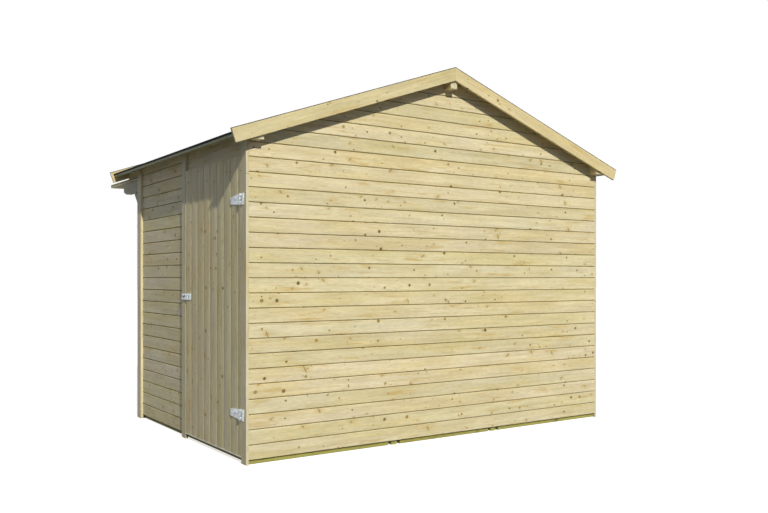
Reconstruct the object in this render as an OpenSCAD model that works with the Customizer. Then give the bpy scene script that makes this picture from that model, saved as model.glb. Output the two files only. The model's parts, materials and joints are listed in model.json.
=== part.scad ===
// Timber kiosk: boarded walls on ground timbers, a low gable roof with felt and bargeboards,
// a hinged boarded door with a hasp in one side wall, and a raised serving flap on the front gable.
// Millimetres, +Z up. The back gable faces -Y, the serving hatch faces +Y, and the door is in the -X wall.

/* [Body] */
// Width of the body over its corner trims
body_w = 2976; // [2700:1:3200]
// Depth of the body between the faces of its two gables
body_d = 1996; // [1800:1:2400]
// Thickness of the cladding and trim boards
board_t = 18; // [16:1:21]
// Cover width of one cladding board
board_pitch = 88.4; // [84:0.1:92]
// Height of the cladding's lower edge above the ground
cladding_z = 28; // [22:1:42]
// Side of the square wall studs and rails
stud = 45; // [38:1:60]
// Studs in a gable wall, counting both corners
gable_studs = 6; // [4:1:8]
// Studs between the corners of the plain side wall
side_studs = 3; // [1:1:4]
// Width of the corner trims
trim_w = 68; // [60:1:80]
// Width of the trim on the latch side of the door
door_trim_w = 71; // [60:1:85]

/* [Floor] */
// Width of a ground timber
joist_w = 44; // [40:1:75]
// Height of a ground timber
joist_h = 45; // [43:1:60]
// Distance between the centres of the two middle joists
joist_spacing = 860; // [600:1:1000]
// Radius of the rounded edges of a ground timber
joist_r = 6; // [2:1:10]
// Width of the beams under the gable walls
beam_w = 50; // [40:1:50]
// Gap between neighbouring ground timbers
joist_gap = 24; // [10:1:30]
// Thickness of the floor boards
floor_t = 18; // [15:1:28]

/* [Roof] */
// Slope of the roof in degrees
roof_pitch = 19.5; // [15:0.1:24]
// Height of the underside of the wall plates
plate_z = 1888; // [1860:1:2000]
// Height of a wall plate on its outer face
plate_h = 49; // [38:1:60]
// Width of the ridge purlin
purlin_w = 53; // [45:1:75]
// Height of the ridge purlin at its middle
purlin_h = 95; // [80:1:120]
// Thickness of the roof deck
deck_t = 18; // [16:1:22]
// Gap between the roof deck and the timbers that it lies on
deck_seat = 0.3; // [0.2:0.1:0.5]
// Thickness of the roofing felt with its underlay
felt_t = 10; // [6:0.5:12]
// Overhang of the roof deck past the side walls
eave_over = 95; // [60:1:150]
// Overhang of the roof deck past the back gable
verge_back = 72; // [40:1:150]
// Overhang of the roof deck past the front gable
verge_front = 294; // [200:1:350]
// Thickness of a bargeboard
barge_t = 18; // [16:1:22]
// Width of a bargeboard
barge_w = 82; // [75:1:100]
// Height by which a bargeboard stands above the felt
barge_rise = 13; // [8:1:30]
// Length of a bargeboard's tip past the edge of the roof deck
barge_tip = 20; // [10:1:50]
// Thickness of the felt strip on top of the bargeboards
cap_t = 4; // [3:0.5:6]

/* [Door] */
// Width of the door leaf
door_w = 893; // [800:1:950]
// Height of the door leaf
door_h = 1776; // [1700:1:1785]
// Height of the door's lower edge above the ground
door_z = 34; // [31:1:50]
// Clearance round the door leaf
door_gap = 5; // [5:1:8]
// Thickness of the door's boards
door_t = 18; // [16:1:21]
// Width of the door's ledges and braces
ledge_w = 95; // [70:1:110]
// Thickness of the door's ledges and braces
ledge_t = 18; // [15:1:22]
// Length of a brace's foot along its ledge
brace_foot = 104; // [80:1:140]
// Distance from the door's long edges to the ends of its ledges
ledge_inset = 24; // [21:1:40]
// Width of the stop strips behind the door
stop_w = 15; // [10:1:18]

/* [Door hinges] */
// Height of the upper hinge above the ground
hinge_top_z = 1550; // [1450:1:1650]
// Height of the lower hinge above the ground
hinge_low_z = 286; // [220:1:400]
// Thickness of the hinge plates
hinge_t = 3; // [2:0.5:4]
// Outer radius of a hinge knuckle
knuckle_r = 6.5; // [5.5:0.1:8]
// Radius of the hinge pin
pin_r = 3; // [2:0.1:4]
// Radial clearance of the pin in its knuckle
pin_fit = 0.05; // [0.02:0.01:0.1]
// Height of the hinge leaf on the post
leaf_h = 67; // [60:1:80]
// Width of the hinge leaf on the post
leaf_w = 44; // [30:1:50]
// Length of the hinge strap on the door
strap_len = 146; // [120:1:220]
// Height of the strap at the knuckle
strap_root_h = 63; // [50:1:66]
// Height of the strap at its tip
strap_tip_h = 42; // [25:1:50]
// Gap between neighbouring knuckles of one hinge
knuckle_gap = 0.6; // [0.3:0.1:1]
// Gap between a knuckle and the wood behind it
knuckle_off = 0.3; // [0.3:0.1:1]

/* [Hasp] */
// Height of the hasp above the ground
hasp_z = 962; // [900:1:1050]
// Height of the hasp's plates
hasp_h = 42; // [36:1:50]
// Thickness of the hasp's plates
hasp_t = 2.5; // [2:0.5:3]
// Length of the plate fixed to the door
hasp_plate_len = 48; // [40:1:60]
// Distance from the door's latch edge to the hasp's pin
hasp_setback = 46; // [35:1:60]
// Length of the swinging strap
hasp_strap_len = 105; // [100:1:120]
// Outer radius of the hasp's knuckle
hasp_knuckle_r = 5; // [4.5:0.1:6]
// Radius of the hasp's pin
hasp_pin_r = 2; // [1.5:0.1:2.5]
// Distance from the hasp's pin to the middle of its slot
slot_at = 70; // [66:1:74]
// Length of the slot in the strap
slot_len = 44; // [38:1:48]
// Height of the slot in the strap
slot_h = 12; // [11:1:14]
// Thickness of the staple's rod
staple_d = 6; // [5:0.5:7]
// Distance between the centres of the staple's legs
staple_w = 22; // [18:1:24]
// Distance from the wall to the middle of the staple's bar
staple_out = 22; // [18:1:28]
// Radius of the staple's bends, to the middle of the rod
staple_bend = 6; // [4:0.5:8]
// Length and height of the plate under the staple
staple_plate = [36, 36]; // [30:1:36]

/* [Serving hatch] */
// Rows of cladding below the hatch
hatch_rows = 12; // [10:1:13]
// Height of the top of the hatch opening
hatch_top = 1850; // [1800:1:1853]
// Thickness of the sill board
sill_t = 28; // [20:1:40]
// Inward overhang of the sill past the studs
sill_in = 15; // [5:1:60]
// Length of the raised flap, from the gable to its free edge
flap_len = 752; // [700:1:850]
// Thickness of the flap's boards
flap_t = 26; // [20:1:26]
// Distance of the flap's ends inside the body's sides
flap_inset = 5; // [2:1:20]
// Height of the flap's underside
flap_z = 1856; // [1854:1:1857]
// Thickness of the flap's ledges
flap_ledge_t = 22; // [18:1:28]
// Distance of the outer flap ledges from the middle
flap_ledge_x = 900; // [600:1:1200]
// Thickness of a bracket arm
arm_w = 45; // [38:1:60]
// Height of a bracket arm
arm_h = 89; // [80:1:110]
// Length of a bracket arm from the front trim
arm_len = 378; // [300:1:420]
// Distance of a bracket arm inside the body's side
arm_inset = 8; // [0:1:20]
// Length of the slanted cut on the arm's lower corner
arm_cut = 60; // [20:1:80]
// Height of the slanted cut on the arm's lower corner
arm_cut_h = 22; // [10:1:40]
// Reach of the bracket's slanted strut along the arm
strut_len = 115; // [80:1:150]
// Depth of the strut's timber
strut_d = 45; // [30:1:50]
// Reach of the flap hinges on the flap and up the wall
flap_hinge_reach = [159, 60]; // [40:1:200]
// Width of the flap hinges
flap_hinge_w = 40; // [30:1:60]

/* [Hidden] */
$fn = 48;
ridge_gap = 0.4;
merge = 1;
reach_back = verge_back + barge_t;
reach_front = max(flap_len, verge_front + barge_t);
back_y = -(reach_back + body_d + reach_front) / 2 + reach_back;
front_y = back_y + body_d;
side_x = body_w / 2;
skin_x = side_x - board_t;
frame_x = skin_x - board_t;
room_x = frame_x - stud;
frame_back = back_y + board_t;
frame_front = front_y - board_t;
room_back = frame_back + stud;
room_front = frame_front - stud;
floor_z = joist_h + floor_t;
stud_z = floor_z + stud;
slope = tan(roof_pitch);
function under_roof(x) = plate_z + plate_h + (skin_x - abs(x)) * slope;
function over_roof(x, t) = under_roof(x) + t / cos(roof_pitch);
eave_x = side_x + eave_over;
deck_top = deck_seat + deck_t;
felt_top = deck_top + felt_t;
barge_top = felt_top + barge_rise;
ridge_z = under_roof(0);
purlin_z = ridge_z - purlin_h;
gable_rail_h = stud / cos(roof_pitch);
gable_step = 2 * (frame_x - stud / 2) / (gable_studs - 1);
side_step = (body_d - 2 * board_t - stud) / (side_studs + 1);
door_y0 = back_y + trim_w + door_gap / 2;
door_y1 = door_y0 + door_w;
door_top = door_z + door_h;
latch_y = door_y1 + door_gap;
head_z = door_top + door_gap;
stop_x = -skin_x + door_gap;
hinge_x = -side_x - knuckle_r - knuckle_off;
hinge_y = door_y0 - door_gap / 4;
knuckle_h = leaf_h / 3;
hasp_x = -side_x - hasp_knuckle_r - knuckle_off;
hasp_y = door_y1 - hasp_setback;
hasp_knuckle_h = hasp_h / 3;
slot_y = hasp_y + slot_at;
hatch_z = cladding_z + hatch_rows * board_pitch;
hatch_sill_z = hatch_z + sill_t;
header_top = hatch_top + stud;
front_trim_y = front_y + board_t;
arm_z = flap_z - arm_h;
arm_x = side_x - arm_inset - arm_w;
low_ledge_z = hinge_low_z;
top_ledge_z = hinge_top_z;
mid_ledge_z = (hinge_low_z + hinge_top_z) / 2;

spruce = "#dccf9c";
shaded_spruce = "#cbbd8a";
treated = "#9a9a4e";
felt_black = "#26282a";
zinc = "#aab4bd";

// A box between two opposite corners
module block(low, high) translate(low) cube(high - low);

// A flat X-Z outline made solid from y0 to y1
module along_y(y0, y1) translate([0, y1, 0]) rotate([90, 0, 0]) linear_extrude(y1 - y0) children();

// A flat Y-Z outline made solid from x0 to x1
module along_x(x0, x1) translate([x0, 0, 0]) rotate([90, 0, 90]) linear_extrude(x1 - x0) children();

// The same piece on both sides of the middle
module both_sides() {
    children();
    mirror([1, 0, 0]) children();
}

// Section of a ground timber with rounded edges, its lower left corner at the origin
module timber_section(w) {
    translate([joist_r, 0]) square([w - 2 * joist_r, joist_h]);
    translate([0, joist_r]) square([w, joist_h - 2 * joist_r]);
    for (x = [joist_r, w - joist_r], z = [joist_r, joist_h - joist_r])
        translate([x, z]) circle(joist_r);
}

// X-Z outline of the cladding of one gable above height z0, cut round the plates and the purlin
module gable_outline(z0) {
    half = [
        [skin_x, z0], [skin_x, plate_z], [room_x, plate_z], [room_x, under_roof(room_x)],
        [purlin_w / 2, under_roof(purlin_w / 2)], [purlin_w / 2, purlin_z]
    ];
    polygon(concat(half, [for (i = [len(half) - 1:-1:0]) [-half[i][0], half[i][1]]]));
}

// X-Z outline of one half of a roof layer, from height t0 to t1 above the deck's underside
module roof_layer(t0, t1, tip) {
    lean = sin(roof_pitch);
    polygon([
        [ridge_gap / 2, over_roof(ridge_gap / 2, t0)], [tip + t0 * lean, over_roof(tip + t0 * lean, t0)],
        [tip + t1 * lean, over_roof(tip + t1 * lean, t1)], [ridge_gap / 2, over_roof(ridge_gap / 2, t1)]
    ]);
}

// A trim on a side wall, from the ground to the roof deck
module side_trim(y0, y1)
    along_y(y0, y1)
        polygon([[skin_x, 0], [side_x, 0], [side_x, under_roof(side_x)], [skin_x, under_roof(skin_x)]]);

// A stud of a gable wall between z0 and a cut z1 below the roof deck
module gable_stud(x, z0, y0) {
    x0 = x - stud / 2;
    x1 = x + stud / 2;
    along_y(y0, y0 + stud)
        polygon([
            [x0, z0], [x1, z0], [x1, under_roof(x1) - gable_rail_h], [x0, under_roof(x0) - gable_rail_h]
        ]);
}

module floor_joists() color(treated) {
    for (x = [-joist_spacing / 2, joist_spacing / 2])
        along_y(frame_back, frame_front) translate([x - joist_w / 2, 0]) timber_section(joist_w);
    both_sides()
        along_y(frame_back + beam_w + joist_gap, frame_front - beam_w - joist_gap)
            translate([frame_x - joist_w, 0]) timber_section(joist_w);
}

module edge_beams() color(treated) {
    inner = joist_spacing / 2 + joist_w / 2 + joist_gap;
    middle = joist_spacing / 2 - joist_w / 2 - joist_gap;
    spans = [[-skin_x, -inner], [-middle, middle], [inner, skin_x]];
    for (y = [frame_back, frame_front - beam_w], span = spans)
        translate([0, y, 0]) along_x(span[0], span[1]) timber_section(beam_w);
}

module floor_boards() color(shaded_spruce)
    block([-frame_x, frame_back, joist_h], [frame_x, frame_front, floor_z]);

module gable_sole_plates() color(spruce)
    for (y = [frame_back, room_front]) block([-frame_x, y, floor_z], [frame_x, y + stud, stud_z]);

module side_sole_plates() color(spruce) {
    block([room_x, room_back, floor_z], [frame_x, room_front, stud_z]);
    block([-frame_x, latch_y, floor_z], [-room_x, room_front, stud_z]);
}

// The studs of one gable; those between the corners start at z0
module gable_stud_row(y0, z0) {
    both_sides() block([room_x, y0, stud_z], [frame_x, y0 + stud, plate_z]);
    for (i = [1:gable_studs - 2]) gable_stud(-frame_x + stud / 2 + i * gable_step, z0, y0);
}

module back_studs() color(spruce) gable_stud_row(frame_back, stud_z);

module front_studs() color(spruce) {
    gable_stud_row(room_front, header_top);
    for (i = [1:gable_studs - 2]) {
        x = -frame_x + stud / 2 + i * gable_step;
        block([x - stud / 2, room_front, stud_z], [x + stud / 2, frame_front, hatch_z - stud]);
    }
}

module door_side_studs() color(spruce) {
    middle = (latch_y + stud + room_front) / 2;
    for (y = [latch_y, middle - stud / 2]) block([-frame_x, y, stud_z], [-room_x, y + stud, plate_z]);
}

module plain_side_studs() color(spruce)
    for (i = [1:side_studs])
        translate([0, frame_back + i * side_step, 0])
            block([room_x, 0, stud_z], [frame_x, stud, plate_z]);

module gable_rails() color(spruce)
    for (y = [frame_back, room_front])
        both_sides()
            along_y(y, y + stud)
                polygon([
                    [purlin_w / 2, under_roof(purlin_w / 2)],
                    [purlin_w / 2, under_roof(purlin_w / 2) - gable_rail_h],
                    [room_x, under_roof(room_x) - gable_rail_h], [room_x, under_roof(room_x)]
                ]);

module hatch_rails() color(spruce)
    for (z = [hatch_z - stud, hatch_top]) block([-room_x, room_front, z], [room_x, frame_front, z + stud]);

module hatch_sill() color(spruce)
    block([-room_x, room_front - sill_in, hatch_z], [room_x, front_y, hatch_sill_z]);

module back_cladding() color(spruce) along_y(back_y, frame_back) gable_outline(cladding_z);

module front_lower_cladding() color(spruce)
    block([-skin_x, frame_front, cladding_z], [skin_x, front_y, hatch_z]);

module front_upper_cladding() color(spruce) along_y(frame_front, front_y) gable_outline(hatch_top);

module front_corner_boards() color(spruce)
    both_sides() block([room_x, frame_front, hatch_z], [skin_x, front_y, hatch_top]);

// Cladding of a side wall from y0 to y1, notched where it stands on the ends of the gable beams
module side_skin(y0, y1)
    difference() {
        block([frame_x, y0, cladding_z], [skin_x, y1, plate_z]);
        for (y = [frame_back, frame_front - beam_w])
            block([frame_x - merge, y - merge, 0], [skin_x + merge, y + beam_w + merge, joist_h]);
    }

module door_side_cladding() color(spruce)
    mirror([1, 0, 0]) {
        side_skin(latch_y, frame_front);
        side_skin(frame_back, back_y + trim_w);
    }

module door_head_board() color(spruce)
    block([-skin_x, back_y + trim_w, head_z], [-frame_x, latch_y, plate_z]);

module plain_side_cladding() color(spruce) side_skin(frame_back, frame_front);

module door_side_trims() color(spruce)
    mirror([1, 0, 0]) {
        side_trim(back_y, back_y + trim_w);
        side_trim(latch_y, latch_y + door_trim_w);
        side_trim(front_y - trim_w, front_y);
    }

module plain_side_trims() color(spruce) {
    side_trim(back_y, back_y + trim_w);
    side_trim(front_y - trim_w, front_y);
}

module front_trims() color(spruce)
    both_sides() block([side_x - trim_w, front_y, 0], [side_x, front_trim_y, flap_z]);

module door_stops() color(spruce) {
    block([stop_x, latch_y - stop_w, stud_z], [-frame_x, latch_y, head_z - stop_w]);
    block([stop_x, back_y + trim_w, head_z - stop_w], [-frame_x, latch_y, head_z]);
}

module wall_plates() color(spruce)
    both_sides()
        along_y(back_y - verge_back, front_y + verge_front)
            polygon([
                [room_x, plate_z], [skin_x, plate_z],
                [skin_x, under_roof(skin_x)], [room_x, under_roof(room_x)]
            ]);

module ridge_purlin() color(spruce)
    along_y(back_y - verge_back, front_y + verge_front)
        polygon([
            [-purlin_w / 2, purlin_z], [purlin_w / 2, purlin_z], [purlin_w / 2, under_roof(purlin_w / 2)],
            [0, ridge_z], [-purlin_w / 2, under_roof(purlin_w / 2)]
        ]);

module roof_deck() color(shaded_spruce)
    both_sides() along_y(back_y - verge_back, front_y + verge_front) roof_layer(deck_seat, deck_top, eave_x);

module roof_felt() color(felt_black)
    both_sides()
        along_y(back_y - verge_back, front_y + verge_front) roof_layer(deck_top, felt_top, eave_x);

// The two bargeboards of one gable, from y0 outwards
module bargeboard_pair(y0)
    both_sides() along_y(y0, y0 + barge_t) roof_layer(barge_top - barge_w, barge_top, eave_x + barge_tip);

module back_bargeboards() color(spruce) bargeboard_pair(back_y - verge_back - barge_t);

module front_bargeboards() color(spruce) bargeboard_pair(front_y + verge_front);

module bargeboard_caps() color(felt_black)
    for (y0 = [back_y - verge_back - barge_t, front_y + verge_front])
        both_sides() along_y(y0, y0 + barge_t) roof_layer(barge_top, barge_top + cap_t, eave_x + barge_tip);

module flap_boards() color(spruce)
    block([flap_inset - side_x, front_y, flap_z], [side_x - flap_inset, front_y + flap_len, flap_z + flap_t]);

module flap_ledges() color(spruce)
    for (x = [-flap_ledge_x, 0, flap_ledge_x])
        block(
            [x - ledge_w / 2, front_y + stud, flap_z - flap_ledge_t],
            [x + ledge_w / 2, front_y + flap_len - stud, flap_z]
        );

// Strap hinges that carry the flap: a strap on the flap, a leaf up the wall and a knuckle at the bend
module flap_hinges() color(zinc)
    for (x = [-flap_ledge_x, 0, flap_ledge_x])
        along_x(x - flap_hinge_w / 2, x + flap_hinge_w / 2)
            translate([front_y, flap_z + flap_t]) {
                square([flap_hinge_reach[0], hinge_t]);
                square([hinge_t, flap_hinge_reach[1]]);
                translate([knuckle_r, knuckle_r]) circle(knuckle_r);
            }

module bracket_arms() color(shaded_spruce)
    both_sides()
        along_x(arm_x, arm_x + arm_w)
            translate([front_trim_y, arm_z])
                polygon([
                    [0, 0], [arm_len - arm_cut, 0], [arm_len, arm_cut_h], [arm_len, arm_h], [0, arm_h]
                ]);

module bracket_struts() color(shaded_spruce) {
    inner = strut_len - strut_d * sqrt(2);
    both_sides()
        along_x(arm_x, arm_x + arm_w)
            translate([front_trim_y, arm_z])
                polygon([[0, -strut_len], [strut_len, 0], [inner, 0], [0, -inner]]);
}

// The post half of one door hinge: a leaf, two knuckles and the pin
module hinge_leaf(z) {
    low = z - leaf_h / 2;
    reach = knuckle_r + 2 * knuckle_gap;
    along_x(-side_x - hinge_t, -side_x)
        difference() {
            translate([hinge_y - leaf_w, low]) square([leaf_w, leaf_h]);
            translate([hinge_y - reach, low + knuckle_h]) square([reach + merge, knuckle_h]);
        }
    translate([hinge_x, hinge_y, low]) {
        cylinder(r = pin_r, h = leaf_h);
        cylinder(r = knuckle_r, h = knuckle_h);
        translate([0, 0, 2 * knuckle_h]) cylinder(r = knuckle_r, h = knuckle_h);
    }
}

module hinge_leaves() color(zinc)
    for (z = [hinge_top_z, hinge_low_z]) hinge_leaf(z);

// The door half of one hinge: a middle knuckle and a tapered strap
module hinge_strap(z) {
    root = knuckle_r + 2 * knuckle_gap;
    tongue = knuckle_h - 2 * knuckle_gap;
    difference() {
        union() {
            along_x(-side_x - hinge_t, -side_x)
                translate([hinge_y, z]) {
                    translate([0, -tongue / 2]) square([root + merge, tongue]);
                    polygon([
                        [root, -strap_root_h / 2], [strap_len, -strap_tip_h / 2],
                        [strap_len, strap_tip_h / 2], [root, strap_root_h / 2]
                    ]);
                }
            translate([hinge_x, hinge_y, z - tongue / 2]) cylinder(r = knuckle_r, h = tongue);
        }
        translate([hinge_x, hinge_y, z - leaf_h]) cylinder(r = pin_r + pin_fit, h = 2 * leaf_h);
    }
}

module hinge_straps() color(zinc)
    for (z = [hinge_top_z, hinge_low_z]) hinge_strap(z);

module door_boards() color(spruce)
    block([-side_x, door_y0, door_z], [door_t - side_x, door_y1, door_top]);

module door_ledges() color(spruce)
    for (z = [low_ledge_z, mid_ledge_z, top_ledge_z])
        block(
            [door_t - side_x, door_y0 + ledge_inset, z - ledge_w / 2],
            [door_t + ledge_t - side_x, door_y1 - ledge_inset, z + ledge_w / 2]
        );

// Slanted braces that rise from the hinge side to the latch side between the ledges
module door_braces() color(spruce) {
    y0 = door_y0 + ledge_inset;
    y1 = door_y1 - ledge_inset;
    for (span = [[low_ledge_z, mid_ledge_z], [mid_ledge_z, top_ledge_z]])
        along_x(door_t - side_x, door_t + ledge_t - side_x)
            polygon([
                [y0, span[0] + ledge_w / 2], [y0 + brace_foot, span[0] + ledge_w / 2],
                [y1, span[1] - ledge_w / 2], [y1 - brace_foot, span[1] - ledge_w / 2]
            ]);
}

// The door half of the hasp: a plate, two knuckles and the pin
module hasp_plate() color(zinc) {
    low = hasp_z - hasp_h / 2;
    reach = hasp_knuckle_r + 2 * knuckle_gap;
    along_x(-side_x - hasp_t, -side_x)
        difference() {
            translate([hasp_y - hasp_knuckle_r - hasp_plate_len, low])
                square([hasp_plate_len + hasp_knuckle_r, hasp_h]);
            translate([hasp_y - reach, low + hasp_knuckle_h]) square([reach + merge, hasp_knuckle_h]);
        }
    translate([hasp_x, hasp_y, low]) {
        cylinder(r = hasp_pin_r, h = hasp_h);
        cylinder(r = hasp_knuckle_r, h = hasp_knuckle_h);
        translate([0, 0, 2 * hasp_knuckle_h]) cylinder(r = hasp_knuckle_r, h = hasp_knuckle_h);
    }
}

// The swinging half of the hasp, with the slot that passes over the staple
module hasp_strap() color(zinc) {
    root = hasp_knuckle_r + 2 * knuckle_gap;
    tongue = hasp_knuckle_h - 2 * knuckle_gap;
    difference() {
        union() {
            along_x(hasp_x - hasp_t / 2, hasp_x + hasp_t / 2)
                translate([hasp_y, hasp_z])
                    difference() {
                        union() {
                            translate([0, -tongue / 2]) square([root + merge, tongue]);
                            translate([root, -hasp_h / 2]) square([hasp_strap_len - root, hasp_h]);
                        }
                        for (y = [slot_at - (slot_len - slot_h) / 2, slot_at + (slot_len - slot_h) / 2])
                            translate([y, 0]) circle(slot_h / 2);
                        translate([slot_at - (slot_len - slot_h) / 2, -slot_h / 2])
                            square([slot_len - slot_h, slot_h]);
                    }
            translate([hasp_x, hasp_y, hasp_z - tongue / 2]) cylinder(r = hasp_knuckle_r, h = tongue);
        }
        translate([hasp_x, hasp_y, hasp_z - hasp_h]) cylinder(r = hasp_pin_r + pin_fit, h = 2 * hasp_h);
    }
}

// A bent rod on a plate: two legs and a bar for the padlock
module hasp_staple() color(zinc) {
    block(
        [-side_x - hasp_t, slot_y - staple_plate[0] / 2, hasp_z - staple_plate[1] / 2],
        [-side_x, slot_y + staple_plate[0] / 2, hasp_z + staple_plate[1] / 2]
    );
    translate([-side_x, slot_y, hasp_z]) {
        for (turn = [0, 1])
            mirror([0, turn, 0]) {
                translate([staple_bend - staple_out, staple_w / 2, 0]) rotate([0, 90, 0])
                    cylinder(d = staple_d, h = staple_out - staple_bend - hasp_t / 2);
                translate([staple_bend - staple_out, staple_w / 2 - staple_bend, 0]) rotate([0, 0, 90])
                    rotate_extrude(angle = 90) translate([staple_bend, 0]) circle(d = staple_d);
            }
        translate([-staple_out, staple_bend - staple_w / 2, 0]) rotate([-90, 0, 0])
            cylinder(d = staple_d, h = staple_w - 2 * staple_bend);
    }
}

floor_joists();
edge_beams();
floor_boards();
gable_sole_plates();
side_sole_plates();
back_studs();
front_studs();
door_side_studs();
plain_side_studs();
gable_rails();
hatch_rails();
hatch_sill();
back_cladding();
front_lower_cladding();
front_upper_cladding();
front_corner_boards();
door_side_cladding();
door_head_board();
plain_side_cladding();
door_side_trims();
plain_side_trims();
front_trims();
door_stops();
wall_plates();
ridge_purlin();
roof_deck();
roof_felt();
back_bargeboards();
front_bargeboards();
bargeboard_caps();
flap_boards();
flap_ledges();
flap_hinges();
bracket_arms();
bracket_struts();
hinge_leaves();
hasp_staple();
door_boards();
door_ledges();
door_braces();
hinge_straps();
hasp_plate();
hasp_strap();
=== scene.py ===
"""Looks of a boarded kiosk: spruce boards, treated ground timbers, a felt roof and galvanised fittings.

Each sub-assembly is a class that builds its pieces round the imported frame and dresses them.
Lengths are metres.
"""

from __future__ import annotations

import json
import logging
import math
import random
from collections.abc import Callable, Iterable, Sequence
from dataclasses import dataclass, field, replace
from enum import Enum
from functools import cache, partialmethod
from typing import NamedTuple

import bmesh
import bpy
from mathutils import Matrix, Vector

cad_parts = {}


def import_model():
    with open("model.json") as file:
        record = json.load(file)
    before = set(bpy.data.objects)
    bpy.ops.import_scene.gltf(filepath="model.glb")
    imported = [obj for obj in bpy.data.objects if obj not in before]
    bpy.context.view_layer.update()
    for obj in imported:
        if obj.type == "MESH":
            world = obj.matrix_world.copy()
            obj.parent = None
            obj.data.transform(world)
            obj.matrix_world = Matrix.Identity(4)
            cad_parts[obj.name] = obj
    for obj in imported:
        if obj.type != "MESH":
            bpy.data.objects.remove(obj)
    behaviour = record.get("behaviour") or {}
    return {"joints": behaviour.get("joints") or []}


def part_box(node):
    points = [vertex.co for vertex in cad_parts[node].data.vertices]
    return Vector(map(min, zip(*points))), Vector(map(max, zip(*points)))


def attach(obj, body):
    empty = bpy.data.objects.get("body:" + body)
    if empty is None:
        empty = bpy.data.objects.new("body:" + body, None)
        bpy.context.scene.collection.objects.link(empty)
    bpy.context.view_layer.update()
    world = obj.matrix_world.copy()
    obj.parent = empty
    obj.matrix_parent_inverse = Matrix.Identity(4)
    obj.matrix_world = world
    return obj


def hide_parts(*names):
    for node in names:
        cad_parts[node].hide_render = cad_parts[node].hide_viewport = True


LOG = logging.getLogger("kiosk")
MM = 0.001
X_AXIS = Vector((1, 0, 0))
Y_AXIS = Vector((0, 1, 0))
Z_AXIS = Vector((0, 0, 1))
MERGE = 0.01 * MM
FLAT_ANGLE = math.radians(1)
SHARP_ANGLE = math.radians(25)
HATCH_ROWS = 12
SAME_WAY = 0.99
END_GRAIN = 0.8

Colour = tuple[float, float, float]
Cut = tuple[Vector, Vector]
Windows = Callable[[float], list[list[Cut]]]
Piece = bpy.types.Object
Socket = bpy.types.NodeSocket
Solid = bmesh.types.BMesh


class Body(Enum):
    """The bodies that pieces ride on."""

    KIOSK = "kiosk"
    DOOR = "door"
    HASP = "hasp"


class Slot(Enum):
    """The record's material slots."""

    CLADDING = "cladding_wood"
    TRIM = "trim_wood"
    DOOR = "door_wood"
    FRAME = "frame_wood"
    TREATED = "treated_wood"
    FELT = "roofing_felt"
    ZINC = "zinc_steel"


def linear(red: int, green: int, blue: int) -> Colour:
    """Turns a colour picked on a 0 to 255 display scale into the linear values that shaders take."""

    def decode(value: int) -> float:
        """Decodes one value."""
        share = value / 255
        return share / 12.92 if share <= 0.04045 else ((share + 0.055) / 1.055) ** 2.4

    return decode(red), decode(green), decode(blue)


def placed(name: str, data: bpy.types.ID) -> Piece:
    """Makes an object of some data and puts it in the scene."""
    made = bpy.data.objects.new(name, data)
    bpy.context.scene.collection.objects.link(made)
    return made


# Node trees


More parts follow.
